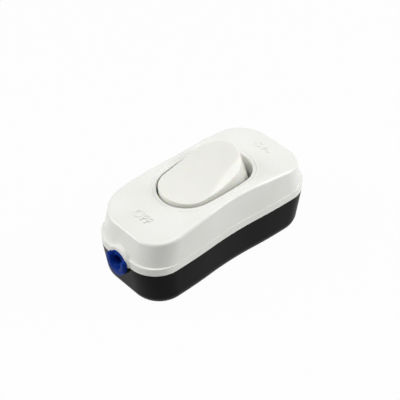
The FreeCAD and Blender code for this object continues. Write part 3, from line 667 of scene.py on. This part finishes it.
@dataclass
class Housing:
    """White cover and black base, with the raised words and what lies round the opening.

    Attributes:
        words: The raised words on the roof.
        roof_top_mm: Height of the roof at its middle.
        crown_drop_mm: How much lower the roof is at its ends than at its middle.
        crown_half_length_mm: Half length over which it drops.
        opening: Outline of the rocker's opening.
        bead_start_mm: Gap between the opening and the faint bead moulded round it.
        bead_width_mm: Width of that bead.
        bead_rise_mm: Height of that bead.
        bead_section: The bead's section: shares of its width, and heights as shares of its rise.
        roof_thickness_mm: Thickness of the roof.
        skirt_foot_mm: Height of the foot of the skirt that hangs under the opening's edge, where
            it passes over the rocker's trunnions.
        skirt_drop_mm: How much lower the skirt hangs at both ends.
        skirt_drop_start_mm: Where it starts to hang lower, along X.
        skirt_drop_end_mm: Where it has come down, along X.
        skirt_wall_mm: Thickness of the skirt.
        skirt_overlap_mm: How far it reaches up into the roof.
        skirt_crease_deg: Angle above which its edges stay crisp.
        hairline_mm: How far it stays back behind the opening's edge.
    """

    words: list[RaisedWord] = field(
        default_factory=lambda: [
            RaisedWord("word_off", "OFF", -28.5),
            RaisedWord("word_on", "ON", 28.5),
        ]
    )
    roof_top_mm: float = 32.5
    crown_drop_mm: float = 5.0
    crown_half_length_mm: float = 39.0
    opening: Oval = Oval(18.8, 11.6, 11.2)
    bead_start_mm: float = 1.3
    bead_width_mm: float = 0.7
    bead_rise_mm: float = 0.12
    bead_section: tuple[tuple[float, float], ...] = (
        (0.0, -1.0),
        (0.15, 0.7),
        (0.5, 1.0),
        (0.85, 0.7),
        (1.0, -1.0),
    )
    roof_thickness_mm: float = 2.0
    skirt_foot_mm: float = 26.8
    skirt_drop_mm: float = 4.0
    skirt_drop_start_mm: float = 6.0
    skirt_drop_end_mm: float = 14.0
    skirt_wall_mm: float = 1.2
    skirt_overlap_mm: float = 0.1
    skirt_crease_deg: float = 40.0
    hairline_mm: float = 0.01

    @property
    def crown_radius_mm(self) -> float:
        """Radius of the roof's crown about Y."""
        return (self.crown_half_length_mm**2 + self.crown_drop_mm**2) / (2 * self.crown_drop_mm)

    def roof(self, x_mm: float) -> float:
        """Returns the height of the roof at a place along X, both in millimetres."""
        radius = self.crown_radius_mm
        return self.roof_top_mm - radius + math.sqrt(radius**2 - x_mm**2)

    def on_roof(self, outline: Oval, rise_mm: float) -> Ring:
        """Lays an outline on the crowned roof.

        Args:
            outline: The outline.
            rise_mm: How far it lies above the roof.

        Returns:
            The ring.
        """
        return [(x, y, self.roof(x) + rise_mm) for x, y in outline.points()]

    def skirt_foot(self, outline: Oval) -> Ring:
        """Lays an outline at the skirt's foot, which comes down in an S towards both ends.

        Args:
            outline: The outline.

        Returns:
            The ring.
        """
        start, stop = self.skirt_drop_start_mm, self.skirt_drop_end_mm
        ring = []
        for x, y in outline.points():
            way = min(max((abs(x) - start) / (stop - start), 0.0), 1.0)
            ring.append((x, y, self.skirt_foot_mm - self.skirt_drop_mm * way**2 * (3 - 2 * way)))
        return ring

    def build(self) -> None:
        """Builds the raised words, the bead round the opening and the skirt under it."""
        for word in self.words:
            finish_piece(word.build(self.roof), "housing", COVER_ABS)
        bead = []
        for across, up in self.bead_section:
            outline = self.opening.grown(self.bead_start_mm + self.bead_width_mm * across)
            bead.append(self.on_roof(outline, self.bead_rise_mm * up))
        finish_piece(skin("opening_bead", bead, looped=True), "housing", COVER_ABS)
        top = self.skirt_overlap_mm - self.roof_thickness_mm
        inner = self.opening.grown(self.hairline_mm)
        outer = self.opening.grown(self.skirt_wall_mm)
        rings = [
            self.on_roof(inner, top),
            self.skirt_foot(inner),
            self.skirt_foot(outer),
            self.on_roof(outer, top),
        ]
        skirt = skin("opening_skirt", rings, looped=True)
        skirt.data.set_sharp_from_angle(angle=math.radians(self.skirt_crease_deg))
        finish_piece(skirt, "housing", COVER_ABS)

    def dress(self) -> None:
        """Dresses both covers."""
        dress(["top_cover"], COVER_ABS)
        dress(["bottom_cover"], BASE_ABS)


@dataclass
class RockerUnit:
    """Rocker with its spring plunger. Heights are above the pivot, before the rocker tilts.

    Attributes:
        foot: Outline of the rocker at its foot.
        foot_mm: Height of its foot.
        rim_mm: Height of its ends' top edge.
        side_lean_mm: How far each side leans in from foot to rim.
        end_lean_mm: How far each end leans in from foot to rim.
        middle_mm: Height of its top edge at the middle.
        crown_mm: How far the thumb face swells above its edge.
        crown_power: How late it falls off towards the edge: 2 is an even swell.
        edge_radius_mm: Rounding of its top edge.
        bury_mm: How deep the new face reaches into the rocker.
        skin_mm: Thickness of the new face where it runs down the wall.
        proud_mm: How far it stands proud of the CAD wall, so that the two don't coincide.
        wall_rows: Rows of faces down the wall.
        edge_steps: Steps over the rounding.
        face_rows: Rows of faces from the edge to the middle of the face.
        pivot_mm: Height of the pivot above the floor.
        tilt_deg: Tilt of the rocker at rest.
    """

    foot: Oval = Oval(18.4, 11.0, 10.6)
    foot_mm: float = -1.0
    rim_mm: float = 14.0
    side_lean_mm: float = 0.9
    end_lean_mm: float = 2.3
    middle_mm: float = 11.5
    crown_mm: float = 0.8
    crown_power: float = 3.0
    edge_radius_mm: float = 0.3
    bury_mm: float = 1.2
    skin_mm: float = 0.8
    proud_mm: float = 0.02
    wall_rows: int = 12
    edge_steps: int = 5
    face_rows: int = 40
    pivot_mm: float = 22.5
    tilt_deg: float = 11.0

    def dress(self) -> None:
        """Dresses the rocker, the plunger and its spring."""
        dress(["rocker"], ROCKER_UREA)
        dress(["plunger"], PLUNGER_ACETAL)
        dress(["plunger_spring"], SPRING_STEEL)

    def dish(self, x_mm: float) -> float:
        """Returns the height of the rocker's top edge at a place along X, in millimetres."""
        drop = self.rim_mm - self.middle_mm
        reach = self.foot.half_length_mm - self.end_lean_mm
        radius = (reach**2 + drop**2) / (2 * drop)
        return self.middle_mm + radius - math.sqrt(radius**2 - x_mm**2)

    def wall(self, drop_mm: float, inset_mm: float = 0.0, fall: float = 0.0) -> Ring:
        """Runs round the rocker's wall.

        Args:
            drop_mm: How far below the top edge.
            inset_mm: How far inside the wall.
            fall: Share of the way from there down to the foot.

        Returns:
            The ring.
        """
        out = self.proud_mm - inset_mm
        low = self.foot.grown(out).points()
        high = self.foot.grown(out - self.side_lean_mm, out - self.end_lean_mm).points()
        ring = []
        for (low_x, low_y), (high_x, high_y) in zip(low, high):
            height = self.dish(high_x) - drop_mm
            height += (self.foot_mm + self.proud_mm - height) * fall
            share = (height - self.foot_mm) / (self.rim_mm - self.foot_mm)
            x, y = low_x + (high_x - low_x) * share, low_y + (high_y - low_y) * share
            ring.append((x, y, height))
        return ring

    def face(self) -> bpy.types.Object:
        """Builds the swelling thumb face over the rocker's top.

        Returns:
            A closed mesh piece, tilted and in place.
        """
        radius, rows = self.edge_radius_mm, self.wall_rows
        rings = [self.wall(self.bury_mm, self.skin_mm), self.wall(self.bury_mm, self.skin_mm, 1.0)]
        rings += [self.wall(radius, fall=1.0 - row / rows) for row in range(rows)]
        rings += [self.wall(drop, inset) for drop, inset in rounding(radius, self.edge_steps)]
        edge = rings[-1]
        for row in range(1, self.face_rows):
            share = 1 - row / self.face_rows
            swell = self.crown_mm * (1 - share**self.crown_power)
            rings.append([(x * share, y * share, self.dish(x * share) + swell) for x, y, _ in edge])
        piece = skin("rocker_face", rings, looped=False)
        tilt = Matrix.Rotation(math.radians(-self.tilt_deg), 4, "Y")
        piece.data.transform(Matrix.Translation((0, 0, self.pivot_mm * MM)) @ tilt)
        return piece

    def build(self) -> None:
        """Joins the rocker to its swelling thumb face, which stands for the CAD rocker."""
        piece = reworked("rocker", "rocker_swelled", [(Work.JOIN, self.face())])
        finish_piece(piece, "rocker", ROCKER_UREA)
        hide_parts("rocker")


class End(Enum):
    """An end of the switch, with the sense of X that points out of it."""

    NEAR = -1
    FAR = 1


@dataclass
class CordInlets:
    """Blue grommets at both inlets and the clamps behind them.

    Attributes:
        axis_mm: Height of the cord's axis.
        face_mm: Where the collar's face lies along X.
        bore_mm: Radius of the cord's bore.
        nose_radius_mm: Outer radius of the nose.
        nose_drop_mm: How far the nose's lower lip hangs below the round of the bore.
        nose_length_mm: How far the nose stands out of the collar.
        nose_rise_mm: Height of its two horns above the axis.
        flare_mm: How much wider the bore is at the mouth.
        edge_radius_mm: Rounding of the nose's front edges.
        edge_steps: Steps over that rounding.
        overlap_mm: How far the nose reaches into the barrel behind it.
        arc_steps: Steps along each arc of its outline.
        cutter_share: Half side of the block that cuts the CAD nose off, in nose radii.
    """

    axis_mm: float = 16.6
    face_mm: float = 39.5
    bore_mm: float = 2.2
    nose_radius_mm: float = 4.6
    nose_drop_mm: float = 0.7
    nose_length_mm: float = 1.7
    nose_rise_mm: float = 2.2
    flare_mm: float = 0.5
    edge_radius_mm: float = 0.45
    edge_steps: int = 6
    overlap_mm: float = 0.05
    arc_steps: int = 24
    cutter_share: float = 1.5

    def outline(self, inset_mm: float, bore_mm: float) -> list[tuple[float, float]]:
        """Lists the nose's outline: a round cup with an open top between two horns.

        Args:
            inset_mm: How far inside the nose's walls it runs.
            bore_mm: Radius of the bore there.

        Returns:
            Places along Y and Z in millimetres.
        """
        outer, inner = self.nose_radius_mm - inset_mm, bore_mm + inset_mm
        middle, bend = (outer + inner) / 2, (outer - inner) / 2
        tip = self.axis_mm + self.nose_rise_mm - inset_mm - bend
        arcs = [
            (0.0, self.axis_mm - self.nose_drop_mm, outer, -math.pi, math.pi),
            (middle, tip, bend, 0.0, math.pi),
            (0.0, self.axis_mm, inner, 0.0, -math.pi),
            (-middle, tip, bend, 0.0, math.pi),
        ]
        points = []
        for across, height, radius, start, sweep in arcs:
            for step in range(self.arc_steps + 1):
                turn = start + sweep * step / self.arc_steps
                points.append((across + radius * math.cos(turn), height + radius * math.sin(turn)))
        return points

    def nose(self, end: End) -> bpy.types.Object:
        """Builds one nose.

        Args:
            end: The end of the switch.

        Returns:
            A closed mesh piece, in place.
        """
        back = self.bore_mm + self.overlap_mm
        rows = [(self.nose_length_mm + self.overlap_mm, 0.0)]
        rows += rounding(self.edge_radius_mm, self.edge_steps)
        rings = []
        for drop, inset in rows:
            reach = self.nose_length_mm - drop
            bore = back + self.flare_mm * max(reach, 0.0) / self.nose_length_mm
            x = end.value * (self.face_mm + reach)
            rings.append([(x, y, z) for y, z in self.outline(inset, bore)])
        return skin("nose", rings, looped=False)

    def plain_nose(self, end: End) -> bpy.types.Object:
        """Builds a block round the CAD nose, to cut it off the barrel.

        Args:
            end: The end of the switch.

        Returns:
            A closed mesh piece, in place.
        """
        start = self.face_mm - self.overlap_mm / 2
        half = self.nose_radius_mm * self.cutter_share
        corners = [(-half, -half), (half, -half), (half, half), (-half, half)]
        rings = [
            [(end.value * x, y, self.axis_mm + z) for y, z in corners]
            for x in (start, start + half)
        ]
        return skin("plain_nose", rings, looped=False)

    def build(self) -> None:
        """Gives both grommets their fuller noses. Each piece stands for its CAD grommet."""
        for end in End:
            node = f"grommet_{end.name.lower()}"
            steps = [(Work.CUT, self.plain_nose(end)), (Work.JOIN, self.nose(end))]
            piece = reworked(node, f"{node}_nosed", steps)
            finish_piece(piece, "housing", GROMMET_PVC)
            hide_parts(node)

    def dress(self) -> None:
        """Dresses grommets and clamps."""
        dress(["grommet_near", "grommet_far"], GROMMET_PVC)
        dress(["clamp_near", "clamp_far"], CLAMP_NYLON)


@dataclass
class SwitchGear:
    """Contacts, strips, terminal pillars and every screw."""

    def dress(self) -> None:
        """Dresses the metal parts."""
        dress(["contact_blade"], BLADE_COPPER)
        dress(["moving_contact", "fixed_contact"], CONTACT_SILVER)
        dress(["line_strip", "load_strip", "neutral_bar"], STRIP_BRASS)
        pillars = sorted(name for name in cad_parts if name.startswith("pillar_"))
        dress(pillars, PILLAR_BRASS)
        dress(["housing_screws", "clamp_screws", "terminal_screws"], SCREW_ZINC)


@dataclass(frozen=True)
class Softbox:
    """A square studio lamp.

    Attributes:
        name: The lamp's name.
        place: Its centre, in metres.
        side: The length of its side, in metres.
        brightness: Its radiance, where 1 is as bright as white paper.
    """

    name: str
    place: tuple[float, float, float]
    side: float
    brightness: float

    def build(self, target: Vector) -> None:
        """Hangs the lamp and turns it to the target.

        Args:
            target: The point that it lights.
        """
        lamp = bpy.data.lights.new(self.name, "AREA")
        lamp.shape = "SQUARE"
        lamp.size = self.side
        # A lamp of radiance 1 gives pi watts for each square metre
        lamp.energy = self.brightness * math.pi * self.side**2
        holder = add_object(self.name, lamp)
        holder.location = self.place
        holder.rotation_euler = (target - Vector(self.place)).to_track_quat("-Z", "Y").to_euler()
        LOG.info("%s: softbox", self.name)


@dataclass
class Studio:
    """Pale floor, white surroundings and soft lamps.

    Attributes:
        floor_half: Half side of the floor, in metres.
        sky: Brightness of the surroundings on the object.
        floor_shade: The floor's own colour.
        floor_glow: Share of the floor that camera, glossy and transmission rays see as white.
    """

    floor_half: float = 3.0
    sky: float = 0.17
    floor_shade: str = "#CCCCCA"
    floor_glow: float = 0.97
    lamps: tuple[Softbox, ...] = (
        Softbox("softbox_above", (-0.022, -0.026, 0.60), 0.49, 2.2),
        Softbox("softbox_left", (-0.40, 0.33, 0.30), 0.34, 4.3),
        Softbox("softbox_right", (0.40, -0.33, 0.30), 0.34, 5.3),
    )

    def build(self, target: Vector) -> None:
        """Builds the floor, the world and the lamps.

        Args:
            target: The point that the lamps light.
        """
        self.build_floor()
        self.build_world()
        for lamp in self.lamps:
            lamp.build(target)

    @staticmethod
    def seen_rays(tree: bpy.types.NodeTree) -> bpy.types.NodeSocket:
        """Picks the rays that show the background.

        Args:
            tree: The node tree that gets the nodes.

        Returns:
            A socket that is 1 for camera, glossy and transmission rays.
        """
        path = add_node(tree, "ShaderNodeLightPath").outputs
        seen = path["Is Camera Ray"]
        for ray in ("Is Glossy Ray", "Is Transmission Ray"):
            seen = add_node(
                tree, "ShaderNodeMath", {"operation": "MAXIMUM"}, {0: seen, 1: path[ray]}
            ).outputs[0]
        return seen

    def build_floor(self) -> None:
        """Lays the floor under the switch."""
        mesh = bpy.data.meshes.new("floor")
        reach = self.floor_half
        corners = [(-reach, -reach, 0), (reach, -reach, 0), (reach, reach, 0), (-reach, reach, 0)]
        mesh.from_pydata(corners, [], [(0, 1, 2, 3)])
        floor = add_object("floor", mesh)
        material = bpy.data.materials.new("paper_floor_matt")
        material.use_nodes = True
        tree = material.node_tree
        tree.nodes.clear()
        paper = add_node(tree, "ShaderNodeBsdfDiffuse", inputs={"Color": linear(self.floor_shade)})
        glow = add_node(tree, "ShaderNodeEmission", inputs={"Color": linear(WHITE)})
        share = add_node(
            tree,
            "ShaderNodeMath",
            {"operation": "MULTIPLY"},
            {0: self.seen_rays(tree), 1: self.floor_glow},
        )
        mixed = add_node(
            tree,
            "ShaderNodeMixShader",
            inputs={0: share.outputs[0], 1: paper.outputs[0], 2: glow.outputs[0]},
        )
        add_node(tree, "ShaderNodeOutputMaterial", inputs={"Surface": mixed.outputs[0]})
        mesh.materials.append(material)
        floor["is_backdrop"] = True
        LOG.info("floor: %s", material.name)

    def build_world(self) -> None:
        """Sets the surroundings: white where they are seen, and plain sky light elsewhere."""
        world = bpy.data.worlds.new("white_surroundings")
        bpy.context.scene.world = world
        world.use_nodes = True
        tree = world.node_tree
        tree.nodes.clear()
        strength = add_node(
            tree,
            "ShaderNodeMapRange",
            inputs={"Value": self.seen_rays(tree), "To Min": self.sky, "To Max": 1.0},
        )
        sky = add_node(
            tree,
            "ShaderNodeBackground",
            inputs={"Color": linear(WHITE), "Strength": strength.outputs["Result"]},
        )
        add_node(tree, "ShaderNodeOutputWorld", inputs={"Surface": sky.outputs[0]})


@dataclass
class PhotoCamera:
    """The camera at the photograph's viewing angle.

    Attributes:
        azimuth_deg: Turn about Z; 0 looks along +Y.
        elevation_deg: Height above the floor.
        roll_deg: Turn about the line of sight.
        distance_mm: Distance from the origin, along the line of sight.
        focal_pixels: Focal length, in pixels of the photograph.
        right_mm: How far the origin lies to the right of the picture's middle.
        up_mm: How far it lies above the middle.
        sensor_mm: Width of the sensor.
        nearest_mm: Nearest distance that it sees.
    """

    azimuth_deg: float = -42.58
    elevation_deg: float = 41.13
    roll_deg: float = 0.70
    distance_mm: float = 463.7
    focal_pixels: float = 1269.4
    right_mm: float = 1.35
    up_mm: float = -15.86
    sensor_mm: float = 36.0
    nearest_mm: float = 10.0

    def build(self) -> None:
        """Sets up the camera and makes it the scene's own."""
        azimuth = math.radians(self.azimuth_deg)
        elevation = math.radians(self.elevation_deg)
        back = Vector(
            (
                math.sin(azimuth) * math.cos(elevation),
                -math.cos(azimuth) * math.cos(elevation),
                math.sin(elevation),
            )
        )
        level = Vector((math.cos(azimuth), math.sin(azimuth), 0))
        roll = Matrix.Rotation(math.radians(self.roll_deg), 3, back)
        right = roll @ level
        up = roll @ back.cross(level)
        place = (back * self.distance_mm - right * self.right_mm - up * self.up_mm) * MM
        lens = bpy.data.cameras.new("photo_camera")
        lens.sensor_width = self.sensor_mm
        lens.lens = self.focal_pixels / PHOTO_PIXELS * self.sensor_mm
        lens.clip_start = self.nearest_mm * MM
        holder = add_object("photo_camera", lens)
        turn = Matrix((right, up, back)).transposed().to_4x4()
        holder.matrix_world = Matrix.Translation(place) @ turn
        bpy.context.scene.camera = holder
        LOG.info("camera: %.1f mm lens", lens.lens)


def main() -> None:
    """Dresses and completes the switch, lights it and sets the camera."""
    logging.basicConfig(level=logging.INFO, format="%(name)s: %(message)s")
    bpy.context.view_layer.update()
    housing = Housing()
    housing.dress()
    housing.build()
    rocker = RockerUnit()
    rocker.dress()
    rocker.build()
    inlets = CordInlets()
    inlets.dress()
    inlets.build()
    SwitchGear().dress()
    low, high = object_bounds()
    Studio().build((Vector(low) + Vector(high)) / 2)
    PhotoCamera().build()
    bpy.context.scene.view_settings.view_transform = "Standard"


if __name__ == "__main__":
    main()
